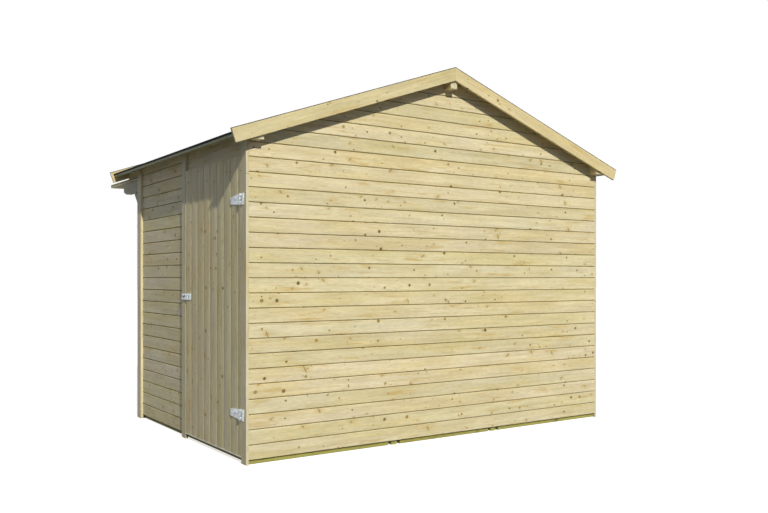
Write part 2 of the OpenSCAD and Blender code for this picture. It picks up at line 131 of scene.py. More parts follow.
class Graph:
    """Short ways of adding nodes to one node tree."""

    def __init__(self, tree: bpy.types.NodeTree) -> None:
        """Starts on a tree and leaves what is in it."""
        self.tree = tree

    def add(self, kind: str, **settings: object) -> bpy.types.Node:
        """Adds a node.

        Args:
            kind: The node's type name.
            settings: Properties to set on it.

        Returns:
            The new node.
        """
        node = self.tree.nodes.new(kind)
        for name, value in settings.items():
            setattr(node, name, value)
        return node

    def feed(self, socket: Socket, value: object) -> None:
        """Links a socket to a socket, or sets it to a plain value."""
        if isinstance(value, Socket):
            self.tree.links.new(value, socket)
        elif socket.type == "RGBA" and len(value) == 3:
            socket.default_value = (*value, 1)
        else:
            socket.default_value = value

    def pour(self, node: bpy.types.Node, values: Sequence[object]) -> None:
        """Feeds the inputs of a node in their order."""
        for socket, value in zip(node.inputs, values):
            self.feed(socket, value)

    def fill(self, node: bpy.types.Node, values: dict[str, object]) -> None:
        """Feeds several inputs of a node by their names."""
        for name, value in values.items():
            self.feed(node.inputs[name], value)

    def maths(self, operation: str, *values: object) -> Socket:
        """Adds a Math node on one to three values and returns its result."""
        node = self.add("ShaderNodeMath", operation=operation)
        self.pour(node, values)
        return node.outputs[0]

    def centred(self, share: Socket, span: float) -> Socket:
        """Spreads a share of 0 to 1 evenly over a span about nought."""
        return self.scaled(share, span, -span / 2)

    def vector(self, operation: str, *values: object) -> Socket:
        """Adds a Vector Math node and returns its result, which is a number for a length."""
        node = self.add("ShaderNodeVectorMath", operation=operation)
        self.pour(node, values)
        return node.outputs["Value" if operation == "LENGTH" else "Vector"]

    times = partialmethod(maths, "MULTIPLY")
    plus = partialmethod(maths, "ADD")
    less = partialmethod(maths, "SUBTRACT")
    over = partialmethod(maths, "DIVIDE")
    power = partialmethod(maths, "POWER")
    scaled = partialmethod(maths, "MULTIPLY_ADD")
    stretch = partialmethod(vector, "MULTIPLY")
    shift = partialmethod(vector, "ADD")
    length = partialmethod(vector, "LENGTH")

    def split(self, vector: Socket) -> list[Socket]:
        """Returns the three parts of a vector."""
        node = self.add("ShaderNodeSeparateXYZ")
        self.feed(node.inputs[0], vector)
        return list(node.outputs)

    def join(self, *parts: object) -> Socket:
        """Returns a vector made of up to three parts."""
        node = self.add("ShaderNodeCombineXYZ")
        self.pour(node, parts)
        return node.outputs[0]

    def step(
        self, value: object, low: float, high: float, to_low: float = 0, to_high: float = 1
    ) -> Socket:
        """Returns a smooth step of a value between two limits, spread over a new range."""
        node = self.add("ShaderNodeMapRange", interpolation_type="SMOOTHSTEP")
        self.pour(node, (value, low, high, to_low, to_high))
        return node.outputs[0]

    def noise(self, vector: object, scale: float, detail: float = 2, roughness: float = 0.5) -> Socket:
        """Returns a noise value from 0 to 1 at a vector."""
        node = self.add("ShaderNodeTexNoise")
        values = {"Vector": vector, "Scale": scale, "Detail": detail, "Roughness": roughness}
        self.fill(node, values)
        return node.outputs["Fac"]

    def blend(self, share: object, first: object, second: object, mode: str = "MIX") -> Socket:
        """Returns a blend of two colours."""
        node = self.add("ShaderNodeMix", data_type="RGBA", blend_type=mode)
        self.fill(node, {"Factor": share, "A": first, "B": second})
        return node.outputs["Result"]


class Group(Graph):
    """A shader node group with named inputs and outputs."""

    def __init__(self, name: str, inputs: dict[str, str], outputs: dict[str, str]) -> None:
        """Makes the group's tree and its sockets.

        Args:
            name: The group's name.
            inputs: Socket kinds by input name.
            outputs: Socket kinds by output name.
        """
        super().__init__(bpy.data.node_groups.new(name, "ShaderNodeTree"))
        for direction, sockets in (("INPUT", inputs), ("OUTPUT", outputs)):
            for label, kind in sockets.items():
                self.tree.interface.new_socket(label, in_out=direction, socket_type=f"NodeSocket{kind}")
        self.inputs = self.add("NodeGroupInput").outputs
        self.outputs = self.add("NodeGroupOutput").inputs

    def put(self, label: str, value: Socket) -> None:
        """Feeds one of the group's outputs."""
        self.feed(self.outputs[label], value)

    def place(self, graph: Graph, **values: object) -> bpy.types.Node:
        """Places the group in a material with its own values and returns the node."""
        node = graph.add("ShaderNodeGroup", node_tree=self.tree)
        graph.fill(node, {label.replace("_", " ").capitalize(): value for label, value in values.items()})
        return node


def attribute(graph: Graph, name: str, output: str) -> Socket:
    """Returns an output of a mesh attribute."""
    return graph.add("ShaderNodeAttribute", attribute_name=name).outputs[output]


class Scatter(NamedTuple):
    """Where knots are, and how far off the nearest one is and its middle, in its own radii."""

    inside: Socket
    off: Socket
    from_pith: Socket


@dataclass(frozen=True)
class KnotKind:
    """A kind of knot, at most one in each cell of a net; its size and slimness are shares."""

    share: str
    density: float
    slimness: float
    size: float = 1
    shift: tuple[float, float, float] = (0, 0, 0)

    def scatter(self, graph: Graph, place: Socket, full_size: Socket, share: Socket) -> Scatter:
        """Scatters the knots over a plane.

        Args:
            graph: The tree that gets the nodes.
            place: The plane's coordinates, in metres, with x along the grain.
            full_size: The wood's knot size.
            share: The share of cells that hold one.

        Returns:
            What the scatter gives.
        """
        place = graph.shift(place, self.shift)
        net = graph.add("ShaderNodeTexVoronoi", voronoi_dimensions="2D")
        graph.fill(net, {"Vector": place, "Scale": self.density, "Randomness": 0.8})
        offset = graph.vector("SUBTRACT", place, net.outputs["Position"])
        luck = graph.split(net.outputs["Color"])
        kept = graph.maths("LESS_THAN", luck[0], share)
        grown = graph.step(graph.power(luck[1], 1.6), 0, 1, 0.6, 1.35)
        full = graph.times(graph.times(full_size, self.size), grown)
        half = graph.maths("LESS_THAN", luck[2], 0.5)
        turn = graph.add("ShaderNodeVectorRotate", rotation_type="Z_AXIS")
        angle = graph.scaled(half, 1.3, graph.scaled(luck[1], 0.7, 0.55))
        graph.fill(turn, {"Vector": offset, "Angle": angle})
        narrow = graph.scaled(luck[2], 0.45 * self.slimness, self.slimness)
        shape = graph.join(1, graph.over(1, narrow), 0)
        reach = graph.length(graph.stretch(turn.outputs[0], shape))
        ragged = graph.scaled(graph.noise(place, 130, 3), 0.5, 0.75)
        reach = graph.times(graph.over(reach, full), ragged)
        inside = graph.times(kept, graph.step(reach, 0.8, 1.15, 1, 0))
        wide = graph.length(graph.stretch(offset, (0.45, 1, 0)))
        far_off = graph.times(graph.less(1, kept), 99)
        return Scatter(inside, graph.plus(graph.over(wide, full), far_off), reach)


ROUND_KNOT = KnotKind("Knot share", density=11, slimness=0.75)
PIN_KNOT = KnotKind("Pin share", density=17, slimness=0.6, size=0.55, shift=(3.1, 7.7, 0))
SPIKE_KNOT = KnotKind("Spike share", density=9, slimness=0.2, size=1.9, shift=(9.3, 2.9, 0))


class WoodFigure(Group):
    """The figure of softwood: growth rings, fibre, clouds of tone, knots, and painted shade down in the
    joints.

    It reads a place in the board, with x along the grain and z out of the face, and three random
    numbers for each board. It gives a colour, a roughness and a height in metres.
    """

    COLOURS = ("Early", "Late", "Warm", "Halo", "Knot", "Rim")
    KNOTS = ("Knot share", "Pin share", "Spike share", "Knot size")
    NUMBERS = ("Ring width", "Ring contrast", *KNOTS, "Joint depth", "End grain")
    BOARDS_APART = 61
    PITH_SIDE = 110 * MM
    PITH_DEPTH = 70 * MM
    PITH_NEAREST = 18 * MM
    PITH_LEAN = 0.024
    WANDER_SIDE = 30 * MM
    WANDER_DEPTH = 36 * MM
    KNOT_SWELL = 4.5 * MM
    TONGUE_DEPTH = 13 * MM
    JOINT_TONE = 0.31
    END_TINT = (0.97, 1.02, 1.14)

    def __init__(self) -> None:
        """Builds the group."""
        kinds = {"Vector": ("Place", "Board"), "Color": self.COLOURS, "Float": self.NUMBERS}
        super().__init__(
            "wood_figure",
            {label: kind for kind, labels in kinds.items() for label in labels},
            {"Colour": "Color", "Roughness": "Float", "Height": "Float"},
        )
        given = self.inputs
        self.chance = self.split(given["Board"])
        self.at = self.split(given["Place"])
        apart = self.stretch(given["Board"], (self.BOARDS_APART,) * 3)
        self.lifted = self.shift(given["Place"], apart)
        self.flat = self.stretch(self.lifted, (1, 1, 0))

        # Knots sit in whorls along the tree, so a slow noise decides where they crowd
        whorls = self.noise(self.stretch(self.lifted, (5, 3, 0)), 1, 1)
        self.crowd = self.step(whorls, 0.4, 0.62, 0.35, 1.5)
        self.knots, self.pins, self.spikes = map(self.scatter, (ROUND_KNOT, PIN_KNOT, SPIKE_KNOT))
        near = self.maths("MINIMUM", self.knots.off, self.spikes.off)
        self.halo = self.step(self.maths("EXPONENT", self.times(near, -1)), 0.18, 1)

        self.fibre = self.layer(7, 420, detail=3, roughness=0.6)
        self.late = self.rings()
        self.put("Colour", self.jointed(self.knotted(self.shaded(self.toned()))))
        self.relief()

    def layer(
        self, along: float, across: float, scale: float = 1, detail: float = 2, roughness: float = 0.5
    ) -> Socket:
        """Returns a noise that is stretched along the grain.

        Args:
            along: Its rate along the grain.
            across: Its rate across the grain.
            scale: Multiplies both rates.
            detail: How many finer noises it holds.
            roughness: How strong those are.
        """
        place = self.stretch(self.lifted, (along, across, across))
        return self.noise(place, scale, detail, roughness)

    def scatter(self, kind: KnotKind) -> Scatter:
        """Scatters one kind of knot where knots crowd."""
        share = self.times(self.crowd, self.inputs[kind.share])
        return kind.scatter(self, self.flat, self.inputs["Knot size"], share)

    def rings(self) -> Socket:
        """Returns the late wood of rings round a pith that lies off the board and wanders along it."""
        slow = self.layer(0.9, 5)
        drift = self.layer(0.6, 3, scale=1.7, detail=1)
        side = self.plus(self.at[1], self.centred(self.chance[0], self.PITH_SIDE))
        side = self.plus(side, self.centred(slow, self.WANDER_SIDE))
        deep = self.scaled(self.chance[1], self.PITH_DEPTH, self.PITH_NEAREST)
        deep = self.plus(self.at[2], deep)
        deep = self.plus(deep, self.centred(drift, self.WANDER_DEPTH))
        lean = self.times(self.at[0], self.centred(self.chance[2], self.PITH_LEAN))
        radius = self.length(self.join(side, self.plus(deep, lean), 0))
        radius = self.scaled(self.halo, self.KNOT_SWELL, radius)
        count = self.over(radius, self.inputs["Ring width"])
        phase = self.maths("FRACT", self.scaled(drift, 2.4, count))
        return self.times(self.step(phase, 0.3, 0.93), self.step(phase, 0.93, 1, 1, 0))

    def toned(self) -> Socket:
        """Returns the colour of the rings under slow clouds and streaks of tone."""
        given = self.inputs
        streak = self.layer(1.6, 75, detail=3, roughness=0.6)
        cloud = self.layer(1.4, 10, detail=3)
        contrast = self.times(self.late, given["Ring contrast"])
        colour = self.blend(contrast, given["Early"], given["Late"])
        warmth = self.plus(self.step(cloud, 0.4, 0.66, 0, 0.75), self.times(self.chance[1], 0.5))
        colour = self.blend(warmth, colour, given["Warm"])
        return self.blend(self.step(streak, 0.4, 0.74, 0, 0.42), colour, given["Late"])

    def shaded(self, colour: Socket) -> Socket:
        """Returns a colour made lighter and darker by board, patch, fleck and fibre."""
        shade = self.scaled(self.chance[2], 0.11, 0.945)
        for noise, *limits in (
            (self.layer(3, 24), 0.3, 0.7, 0.93, 1.06),
            (self.layer(26, 95), 0.25, 0.75, 0.94, 1.05),
            (self.fibre, 0.2, 0.8, 0.96, 1.03),
        ):
            shade = self.times(shade, self.step(noise, *limits))
        hue = self.maths("FRACT", self.times(self.chance[0], 7))
        rosy = self.times(shade, self.scaled(hue, 0.035, 0.984))
        return self.blend(1, colour, self.join(rosy, shade, rosy), "MULTIPLY")

    def knotted(self, colour: Socket) -> Socket:
        """Returns a colour with resin smudges, halos and knots on it."""
        given, flat, from_pith = self.inputs, self.flat, self.knots.from_pith
        smudge = self.step(self.layer(3.2, 34, detail=3, roughness=0.62), 0.5, 0.76)
        smudge = self.times(smudge, self.step(self.crowd, 0.4, 1.3, 0.2, 1))
        for where, strength, tone in (
            (smudge, 0.68, "Halo"),
            (self.halo, 0.6, "Halo"),
            (self.pins.inside, 0.45, "Rim"),
            (self.spikes.inside, 0.45, "Rim"),
        ):
            colour = self.blend(self.times(where, strength), colour, given[tone])
        ochre = self.step(self.noise(flat, 9, 1), 0.4, 0.6, 0.1, 0.8)
        core = self.blend(ochre, given["Knot"], given["Halo"])
        wave = self.scaled(self.noise(flat, 300, 2), 5, self.times(from_pith, 22))
        bark = self.step(from_pith, 0.62, 0.9, 0.2, 0.7)
        bark = self.scaled(self.maths("SINE", wave), 0.2, bark)
        core = self.blend(bark, core, given["Rim"])
        return self.blend(self.times(self.knots.inside, 0.9), colour, core)

    def jointed(self, colour: Socket) -> Socket:
        """Returns a colour darkened and browned down in the joints, painted shade with some dust, and cooler
        on end grain.
        """
        given = self.inputs
        # Painted shade: below the joint depth and down to the tongue, the colour darkens towards the joint
        # shade.
        depth = self.times(self.at[2], -1)
        sunk = self.step(self.less(depth, given["Joint depth"]), 0, 2 * MM)
        back = self.step(depth, self.TONGUE_DEPTH, self.TONGUE_DEPTH + MM, 1, 0)
        dusk = self.step(self.times(sunk, back), 0, 1, 1, self.JOINT_TONE)
        brown = self.join(dusk, self.power(dusk, 1.04), self.power(dusk, 1.6))
        colour = self.blend(1, colour, brown, "MULTIPLY")
        return self.blend(given["End grain"], colour, self.blend(1, colour, self.END_TINT, "MULTIPLY"))

    def relief(self) -> None:
        """Feeds the roughness and the height."""
        knots = self.knots.inside
        rough = self.scaled(self.late, -0.06, 0.68)
        rough = self.scaled(self.fibre, 0.1, rough)
        self.put("Roughness", self.scaled(knots, -0.14, rough))
        height = self.times(self.late, 0.05 * MM)
        for where, rise in ((self.fibre, 0.12), (knots, 0.12), (self.pins.inside, -0.1)):
            height = self.scaled(where, rise * MM, height)
        self.put("Height", height)


@cache
def wood_figure() -> WoodFigure:
    """Returns the figure of softwood, building it on first use."""
    return WoodFigure()



# Finishes


class Finish:
    """A material that is built the first time a piece asks for it."""

    name: str = ""

    def material(self) -> bpy.types.Material:
        """Returns the finish's material, building it if it isn't there yet."""
        found = bpy.data.materials.get(self.name)
        if found is not None:
            return found
        material = bpy.data.materials.new(self.name)
        material.use_nodes = True
        graph = Graph(material.node_tree)
        self.dress(graph, material.node_tree.nodes["Principled BSDF"])
        return material

    def dress(self, graph: Graph, surface: bpy.types.Node) -> None:
        """Feeds the surface's sockets; each finish has its own way."""
        raise NotImplementedError

    @staticmethod
    def bump(graph: Graph, surface: bpy.types.Node, height: Socket, strength: float) -> None:
        """Feeds the surface's normal from a height in metres."""
        node = graph.add("ShaderNodeBump")
        graph.fill(node, {"Strength": strength, "Distance": 1, "Height": height})
        graph.feed(surface.inputs["Normal"], node.outputs[0])


@dataclass(frozen=True)
class Wood(Finish):
    """Sawn or planed softwood with the figure of its species."""

    name: str = "planed_spruce"
    early: Colour = linear(236, 223, 184)
    late: Colour = linear(206, 185, 131)
    warm: Colour = linear(226, 208, 153)
    halo: Colour = linear(200, 163, 78)
    knot: Colour = linear(88, 64, 22)
    rim: Colour = linear(78, 64, 28)
    ring_width: float = 3.4 * MM
    ring_contrast: float = 0.45
    knot_share: float = 0.22
    pin_share: float = 0.2
    spike_share: float = 0.22
    knot_size: float = 8.4 * MM
    joint_depth: float = 1.0
    bump_strength: float = 0.7

    def dress(self, graph: Graph, surface: bpy.types.Node) -> None:
        """Feeds the surface from the wood figure of the board it is on."""
        own = {key: value for key, value in vars(self).items() if key not in ("name", "bump_strength")}
        figure = wood_figure().place(
            graph,
            place=attribute(graph, "grain", "Vector"),
            board=attribute(graph, "board", "Vector"),
            end_grain=attribute(graph, "mark", "Fac"),
            **own,
        )
        colour, rough, height = figure.outputs
        graph.fill(surface, {"Base Color": colour, "Roughness": rough, "Specular IOR Level": 0.3})
        self.bump(graph, surface, height, self.bump_strength)


@dataclass(frozen=True)
class Galvanised(Finish):
    """Zinc-coated sheet steel with its faint spangle."""

    name: str = "galvanised_steel"
    bright: Colour = linear(220, 225, 224)
    dull: Colour = linear(194, 202, 204)
    # Dark colour laid on marked faces: painted shade on the knuckles, the staple and the bolt head, and a
    # little on the nails to darken them.
    rolled: Colour = linear(80, 86, 84)
    spangle: float = 7 * MM
    metallic: float = 0.48

    def dress(self, graph: Graph, surface: bpy.types.Node) -> None:
        """Feeds the surface with spangle in colour and roughness, painted shade on marked faces, and a fine
        grain.
        """
        place = graph.add("ShaderNodeTexCoord").outputs["Object"]
        cells = graph.add("ShaderNodeTexVoronoi")
        warp = graph.join(0, graph.times(graph.noise(place, 160, 2), 4 * MM), 0)
        graph.fill(cells, {"Scale": 1 / self.spangle, "Vector": graph.shift(place, warp)})
        crystal = graph.split(cells.outputs["Color"])[0]
        cloud = graph.noise(place, 38, 3)
        share = graph.scaled(crystal, 0.5, graph.step(cloud, 0.35, 0.7, 0, 0.5))
        colour = graph.blend(share, self.bright, self.dull)
        # Marked faces darken towards the dark colour: painted shade.
        marked = graph.times(attribute(graph, "mark", "Fac"), 0.9)
        colour = graph.blend(marked, colour, self.rolled)
        rough = graph.scaled(crystal, 0.14, 0.36)
        graph.fill(surface, {"Base Color": colour, "Roughness": rough, "Metallic": self.metallic})
        self.bump(graph, surface, graph.times(graph.noise(place, 900, 2), 0.03 * MM), 0.6)


@dataclass(frozen=True)
class Felt(Finish):
    """Black roofing felt with a mineral surface."""

    name: str = "mineral_felt"
    tar: Colour = linear(14, 14, 13)
    grit: Colour = linear(56, 57, 56)
    cut: Colour = linear(5, 5, 5)

    def dress(self, graph: Graph, surface: bpy.types.Node) -> None:
        """Feeds the surface with grit in the colour and in the bump."""
        place = graph.add("ShaderNodeTexCoord").outputs["Object"]
        cells = graph.add("ShaderNodeTexVoronoi")
        graph.fill(cells, {"Scale": 620, "Vector": place})
        grain = graph.split(cells.outputs["Color"])[0]
        cloud = graph.noise(place, 3.2, 4)
        share = graph.times(graph.power(grain, 2.2), graph.step(cloud, 0.3, 0.7, 0.55, 1))
        colour = graph.blend(share, self.tar, self.grit)
        colour = graph.blend(attribute(graph, "mark", "Fac"), colour, self.cut)
        rough = graph.step(grain, 0, 1, 0.82, 0.97)
        graph.fill(surface, {"Base Color": colour, "Roughness": rough, "Specular IOR Level": 0.15})
        dents = graph.times(cells.outputs["Distance"], 0.5 * MM)
        dents = graph.scaled(graph.noise(place, 25, 2), 1.5 * MM, dents)
        self.bump(graph, surface, dents, 0.8)



def tones(**colours: tuple[int, int, int]) -> dict[str, Colour]:
    """Returns a wood's colours, given as display values."""
    return {name: linear(*value) for name, value in colours.items()}


SPRUCE = Wood()
# joint_depth is how far below the face the painted joint shade starts; the side walls start it shallowest,
# so their joints are painted darkest.
CLADDING = Wood(name="cladding_spruce", joint_depth=2.2 * MM)
SIDE_CLADDING = Wood(name="side_cladding_spruce", joint_depth=1.2 * MM)
DOOR_WOOD = Wood(name="door_spruce", joint_depth=3.3 * MM, knot_share=0.18, ring_contrast=0.62)
TRIM = Wood(
    name="trim_spruce",
    knot_share=0.07,
    **tones(early=(229, 219, 183), late=(207, 189, 142), warm=(221, 206, 157)),
)
BARGE = Wood(
    name="barge_spruce",
    knot_share=0.14,
    **tones(early=(234, 217, 168), late=(212, 188, 130), warm=(226, 205, 146)),
)
# Greyer, greener and darker than the planed spruce: painted shade for the deck boards under the shaded
# eaves.
DECK_PAINTED_SHADE = Wood(
    name="deck_spruce_painted_shade",
    knot_share=0.1,
    **tones(early=(192, 196, 168), late=(166, 164, 124), warm=(182, 184, 142)),
)
SAWN = Wood(
    name="sawn_spruce", bump_strength=1.0, **tones(early=(222, 205, 158), late=(196, 168, 112))
)
TREATED = Wood(
    name="treated_pine",
    ring_contrast=0.75,
    knot_share=0.08,
    bump_strength=1.0,
    **tones(early=(190, 184, 98), late=(154, 147, 72), warm=(176, 166, 82)),
    **tones(halo=(120, 108, 54), knot=(84, 66, 34), rim=(52, 44, 26)),
)
# Darker treated pine for the outermost ground timbers: painted shade for their shaded faces along the sides.
TREATED_PAINTED_SHADE = replace(
    TREATED,
    name="treated_pine_painted_shade",
    **tones(early=(120, 118, 66), late=(94, 90, 46), warm=(108, 102, 52)),
    **tones(halo=(100, 90, 46), knot=(70, 56, 30), rim=(46, 38, 24)),
)
# Darker and greyer than the planed spruce: painted shade for the brackets in the shade of the flap.
BRACKET_PAINTED_SHADE = Wood(
    name="bracket_spruce_painted_shade",
    knot_share=0.03,
    **tones(early=(196, 193, 164), late=(172, 168, 134), warm=(184, 179, 146)),
)
# Near-white spruce for the door's drip lath: a painted highlight, a light line along the foot of the door.
LATH_PAINTED_HIGHLIGHT = Wood(
    name="lath_painted_highlight",
    knot_share=0,
    **tones(early=(242, 238, 212), late=(234, 228, 198), warm=(238, 232, 202)),
)
ZINC = Galvanised()
FELT = Felt()



# Mesh building


@dataclass(frozen=True)
class Place:
    """Where a board lies: a corner of its face and the ways that its length and width run."""

    corner: Vector
    along: Vector
    across: Vector

    def matrix(self) -> Matrix:
        """Returns the matrix from the board's own frame, whose z points out of its face."""
        turned = Matrix((self.along, self.across, self.along.cross(self.across))).transposed().to_4x4()
        return Matrix.Translation(self.corner) @ turned


@dataclass(frozen=True)
class MatchedSection:
    """The section of a tongued and grooved board, its face crest at height 0 and its groove at width 0."""

    cover: float
    thickness: float = 18 * MM
    chamfer: float = 4 * MM
    shoulder_gap: float = 1.4 * MM
    crown: float = 0
    tongue: float = 7 * MM
    tongue_t: float = 5.4 * MM
    play: float = 0.3 * MM
    crown_steps: int = 8

    def lead(self) -> float:
        """Returns how much of a first board is cut off so that its groove goes."""
        return self.tongue + 5 * self.play

    def face(self) -> list[tuple[float, float]]:
        """Returns the points of the face between its chamfers, an arc where it is crowned."""
        low, high = self.chamfer, self.cover - self.shoulder_gap - self.chamfer
        if not self.crown:
            return [(low, 0), (high, 0)]
        shares = [i / self.crown_steps for i in range(self.crown_steps + 1)]
        return [(low + (high - low) * s, -self.crown * (2 * s - 1) ** 2) for s in shares]

    def outline(self) -> list[tuple[float, float]]:
        """Returns the section's corners in order."""
        drop = self.crown + self.chamfer
        edge = self.cover - self.shoulder_gap
        top = -self.thickness / 2 + self.tongue_t / 2
        low = -self.thickness / 2 - self.tongue_t / 2
        return [
            (0, -drop),
            *self.face(),
            (edge, -drop),
            (edge, top),
            (self.cover + self.tongue, top),
            (self.cover + self.tongue, low),
            (self.cover, low),
            (self.cover, -self.thickness),
            (0, -self.thickness),
            (0, low - self.play),
            (self.tongue + 2 * self.play, low - self.play),
            (self.tongue + 2 * self.play, top + self.play),
            (0, top + self.play),
        ]

    def solid(self, length: float) -> Solid:
        """Returns a board of this section as a bmesh in its own frame."""
        board = bmesh.new()
        section = board.faces.new([board.verts.new((0, *point)) for point in self.outline()])
        grown = bmesh.ops.extrude_face_region(board, geom=[section])["geom"]
        moved = [v for v in grown if isinstance(v, bmesh.types.BMVert)]
        bmesh.ops.translate(board, verts=moved, vec=(length, 0, 0))
        bmesh.ops.recalc_face_normals(board, faces=board.faces)
        return board


def cut_away(board: Solid, cuts: Iterable[Cut]) -> None:
    """Cuts a solid by planes, drops what lies on the side that each normal points to, and closes it."""
    for point, normal in cuts:
        if not board.verts:
            return
        geometry = [*board.verts, *board.edges, *board.faces]
        plane = {"plane_co": point, "plane_no": normal}
        bmesh.ops.bisect_plane(board, geom=geometry, clear_outer=True, dist=MERGE, **plane)
        open_edges = [e for e in board.edges if e.is_boundary]
        if open_edges:
            bmesh.ops.holes_fill(board, edges=open_edges)


def round_arrises(solid: Solid, radius: float, segments: int = 2) -> None:
    """Rounds each sharp edge of a solid a little."""
    sharp = [e for e in solid.edges if e.is_manifold and e.calc_face_angle(0) > SHARP_ANGLE]
    bmesh.ops.bevel(
        solid,
        geom=sharp,
        offset=radius,
        segments=segments,
        affect="EDGES",
        profile=0.5,
        material=-1,
        clamp_overlap=True,
    )


def span(points: Iterable[Vector]) -> tuple[Vector, Vector]:
    """Returns the lowest and the highest corner of the box round some points."""
    parts = list(zip(*points))
    return Vector([min(part) for part in parts]), Vector([max(part) for part in parts])


def middle_of(solid: Solid) -> Vector:
    """Returns the mean of a solid's corners."""
    return sum((vert.co for vert in solid.verts), Vector()) / len(solid.verts)


@dataclass
class Stack:
    """Boards and fittings that are joined in one piece."""

    name: str
    dice: random.Random = field(init=False)
    mesh: Solid = field(init=False)

    def __post_init__(self) -> None:
        """Starts an empty mesh and the piece's own dice."""
        self.dice = random.Random(self.name)
        self.mesh = bmesh.new()
        self.mesh.verts.layers.float_vector.new("grain")
        self.mesh.verts.layers.float_vector.new("board")
        self.mesh.faces.layers.float.new("mark")

    def chance(self) -> Vector:
        """Draws a board's three random numbers."""
        return Vector((self.dice.random(), self.dice.random(), self.dice.random()))

    def take(
        self,
        solid: Solid,
        frame: Matrix | None = None,
        middle: Vector | None = None,
        luck: Vector | None = None,
        smooth: bool = False,
        marked: Callable[[bmesh.types.BMFace], float] | None = None,
    ) -> None:
        """Adds a solid that is already in its place.

        Args:
            solid: The solid, which is used up.
            frame: The board's own frame, with x along its grain; without it the solid has no grain.
            middle: The point of that frame at which the figure is centred.
            luck: The board's three random numbers.
            smooth: Whether its faces are shaded smooth.
            marked: Tells which faces are marked; without it the end grain is.
        """
        luck = luck or self.chance()
        middle = middle or Vector()
        inverse = frame.inverted() if frame is not None else Matrix.Identity(4)
        along = (frame or Matrix.Identity(4)).to_3x3() @ X_AXIS
        grain = self.mesh.verts.layers.float_vector["grain"]
        board = self.mesh.verts.layers.float_vector["board"]
        marks = self.mesh.faces.layers.float["mark"]
        solid.normal_update()
        made = {}
        for vert in solid.verts:
            made[vert] = self.mesh.verts.new(vert.co)
            made[vert][grain] = inverse @ vert.co - middle
            made[vert][board] = luck
        for face in solid.faces:
            new = self.mesh.faces.new([made[v] for v in face.verts])
            new[marks] = float(marked(face) if marked else abs(face.normal.dot(along)) > END_GRAIN)
            new.smooth = smooth
        solid.free()

    def piece(self, finish: Finish, body: Body, slot: Slot, *nodes: str) -> Piece:
        """Makes the stack a finished object.

        Args:
            finish: The finish that it gets.
            body: The body that it rides on.
            slot: The record's material slot; not used.
            nodes: The CAD nodes that it stands for.

        Returns:
            The object.
        """
        for edge in self.mesh.edges:
            edge.smooth = edge.is_manifold and edge.calc_face_angle(0) < SHARP_ANGLE
        data = bpy.data.meshes.new(self.name)
        self.mesh.to_mesh(data)
        self.mesh.free()
        data.materials.append(finish.material())
        made = placed(self.name, data)
        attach(made, body.value)
        if nodes:
            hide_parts(*nodes)
        LOG.info("%s: %d faces, on %s", self.name, len(data.polygons), body.value)
        return made


def lay_board(
    stack: Stack,
    section: MatchedSection,
    place: Place,
    length: float,
    cuts: Iterable[Cut],
    luck: Vector | None = None,
) -> None:
    """Adds one board to a piece, if its cuts leave anything of it.

    Args:
        stack: The piece.
        section: The board's section.
        place: Where it lies.
        length: Its length before it is cut.
        cuts: What is cut off.
        luck: Its three random numbers, where several boards share them.
    """
    board = section.solid(length)
    board.transform(place.matrix())
    cut_away(board, cuts)
    if board.faces:
        stack.take(board, place.matrix(), Vector((length / 2, section.cover / 2, 0)), luck)


def planked(stack: Stack, slab: Solid, along: Vector, face: Vector, section: MatchedSection) -> None:
    """Fills a slab with matched boards.

    Args:
        stack: The piece that gets the boards.
        slab: The slab, which has only outward corners and is used up.
        along: The way that the boards run.
        face: The way that their good face looks.
        section: The boards' section.
    """
    slab.normal_update()
    across = face.cross(along)
    frame = Place(Vector(), along, across).matrix()
    inverse = frame.inverted()
    low, high = span(inverse @ vert.co for vert in slab.verts)
    edges = [f for f in slab.faces if abs(f.normal.dot(face)) < SAME_WAY]
    cuts = [(f.calc_center_median(), f.normal.copy()) for f in edges]
    slab.free()
    width = low.y - section.lead()
    while width < high.y - MM:
        place = Place(frame @ Vector((low.x, width, high.z)), along, across)
        lay_board(stack, section, place, high.x - low.x, cuts)
        width += section.cover


@dataclass(frozen=True)
class Fixing:
    """A nail or screw head: a low cone with a sunken middle."""

    radius: float
    rise: float
    segments: int = 8
    sunk: float = 0.0
    # How far the head darkens towards the zinc's dark colour: a little on nails, and on the bolt painted
    # shade for a shadowed recess.
    dull: float = 0.0
    taper: float = 0.8
    rim: float = 0.32

    def drive(self, stack: Stack, point: Vector, out: Vector) -> None:
        """Adds one to a piece.

        Args:
            stack: The piece.
            point: Where it enters the surface.
            out: The way that its head looks.
        """
        head = bmesh.new()
        radii = {"radius1": self.radius, "radius2": self.radius * self.taper}
        bmesh.ops.create_cone(head, cap_ends=True, segments=self.segments, depth=self.rise + MM, **radii)
        if self.sunk:
            top = max(head.faces, key=lambda f: f.calc_center_median().z)
            bmesh.ops.inset_region(head, faces=[top], thickness=self.radius * self.rim, depth=0)
            bmesh.ops.translate(head, verts=top.verts, vec=(0, 0, -self.sunk))
        turned = out.to_track_quat("Z", "Y").to_matrix().to_4x4()
        head.transform(Matrix.Translation(point + out * ((self.rise - MM) / 2)) @ turned)
        stack.take(head, marked=lambda face: self.dull)


NAIL = Fixing(radius=1.6 * MM, rise=0.1 * MM, dull=0.4)
FELT_NAIL = Fixing(radius=5 * MM, rise=1.2 * MM, segments=10)
SCREW = Fixing(radius=4.2 * MM, rise=1.1 * MM, segments=14, sunk=0.8 * MM)
# The bolt head is painted dark: painted shade for its shadowed recess.
BOLT = Fixing(radius=6 * MM, rise=2 * MM, segments=14, sunk=0.8 * MM, dull=0.9)


